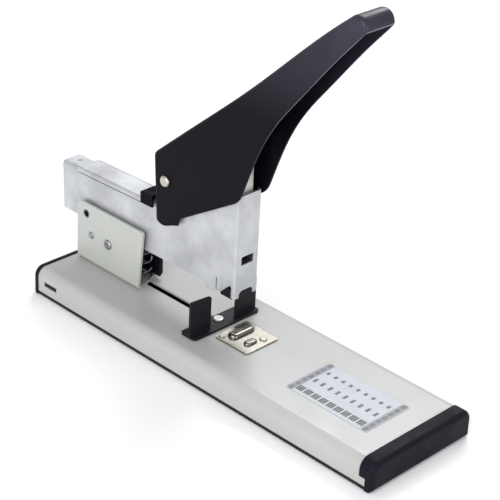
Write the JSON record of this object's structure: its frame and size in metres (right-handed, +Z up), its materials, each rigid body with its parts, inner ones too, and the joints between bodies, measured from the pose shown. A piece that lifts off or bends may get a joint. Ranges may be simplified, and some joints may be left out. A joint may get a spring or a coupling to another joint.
{
  "type": "heavy duty stapler",
  "caption": "Heavy-duty desk stapler: long flat base with end caps, a sliding paper stop and an anvil, a hinged staple arm with an upright head, and a long lever handle.",
  "frame": {"origin": "under the middle of the whole object, on the plane that its rubber feet stand on", "axes": "+X along the base, from the arm hinge towards the front end cap; +Y to the left of that; +Z up"},
  "size_m": [0.2668, 0.0752, 0.2201],
  "materials": {
    "base_paint": "smooth satin enamel, warm light grey",
    "bracket_paint": "satin enamel, slightly greenish cream",
    "black_paint": "satin black enamel",
    "handle_paint": "satin black powder coat",
    "arm_steel": "bright zinc plated sheet, soft mottled sheen",
    "nickel_steel": "bright nickel plate",
    "driver_steel": "plain sintered steel",
    "zinc_steel": "zinc plated",
    "spring_steel": "bright spring wire",
    "staple_wire": "galvanised staple wire",
    "pin_steel": "bright plated pin",
    "dark_steel": "oiled dark steel",
    "cap_plastic": "moulded black plastic with a fine grain",
    "tray_plastic": "moulded black plastic",
    "feet_rubber": "matt rubber",
    "label_card": "printed white film"
  },
  "bodies": {
    "base": {"base_shell": "base_paint", "bottom_tray": "tray_plastic", "front_end_cap": "cap_plastic", "rear_end_cap": "cap_plastic", "rubber_feet": "feet_rubber", "tray_screws": "zinc_steel", "size_label": "label_card", "anvil_plate": "nickel_steel", "anvil_die": "nickel_steel", "anvil_pad": "nickel_steel", "anvil_rivets": "nickel_steel", "pivot_bracket": "bracket_paint", "bracket_rivets": "zinc_steel", "arm_pivot_pin": "dark_steel", "stop_pin": "zinc_steel", "anchor_pin": "zinc_steel", "spring_holder": "cap_plastic", "lift_spring": "spring_steel"},
    "paper_stop": {"stop_plate": "black_paint", "stop_slider": "zinc_steel", "stop_rivet": "zinc_steel"},
    "arm": {"arm_channel": "arm_steel", "inner_channel": "arm_steel", "magazine_rail": "nickel_steel", "rail_pins": "zinc_steel", "staple_strip": "staple_wire", "follower_spring": "spring_steel", "pivot_spacers": "cap_plastic", "spring_seat": "arm_steel", "nose_block": "black_paint", "head_cover": "arm_steel", "head_back": "arm_steel", "handle_pivot_pin": "pin_steel", "handle_spacers": "dark_steel", "handle_spring": "spring_steel", "latch_spring": "spring_steel"},
    "pusher": {"staple_pusher": "cap_plastic"},
    "latch": {"latch_button": "cap_plastic"},
    "driver": {"driver_block": "driver_steel", "driver_blade": "nickel_steel", "blade_rivets": "zinc_steel"},
    "handle": {"handle_shell": "handle_paint", "drive_pin": "pin_steel"}
  },
  "joints": [
    {"name": "arm_hinge", "type": "hinge", "parent": "base", "child": "arm", "pos_m": [-0.108, 0, 0.0472], "axis": [0, 1, 0], "range_deg": [0, 10.5], "stiffness_Nm_per_rad": 0.9, "springref_deg": -34.38, "deforming": ["lift_spring"]},
    {"name": "handle_hinge", "type": "hinge", "parent": "arm", "child": "handle", "pos_m": [-0.0442, 0, 0.0916], "axis": [0, 1, 0], "range_deg": [0, 34], "stiffness_Nm_per_rad": 0.5, "springref_deg": -45.84},
    {"name": "driver_slide", "type": "slide", "parent": "arm", "child": "driver", "axis": [0, 0, -1], "range_m": [0, 0.0245]},
    {"name": "pusher_slide", "type": "slide", "parent": "arm", "child": "pusher", "axis": [0.9997, 0, 0.0262], "range_m": [-0.03, 0], "stiffness_N_per_m": 60, "springref_m": 0.02},
    {"name": "latch_press", "type": "slide", "parent": "arm", "child": "latch", "axis": [0.0262, 0, -0.9997], "range_m": [0, 0.002], "stiffness_N_per_m": 800, "springref_m": -0.001, "deforming": ["latch_spring"]},
    {"name": "stop_slide", "type": "slide", "parent": "base", "child": "paper_stop", "axis": [1, 0, 0], "range_m": [-0.04, 0]}
  ],
  "couplings": [
    {"joint": "driver_slide", "follows": "handle_hinge", "m_per_rad": 0.0411}
  ]
}
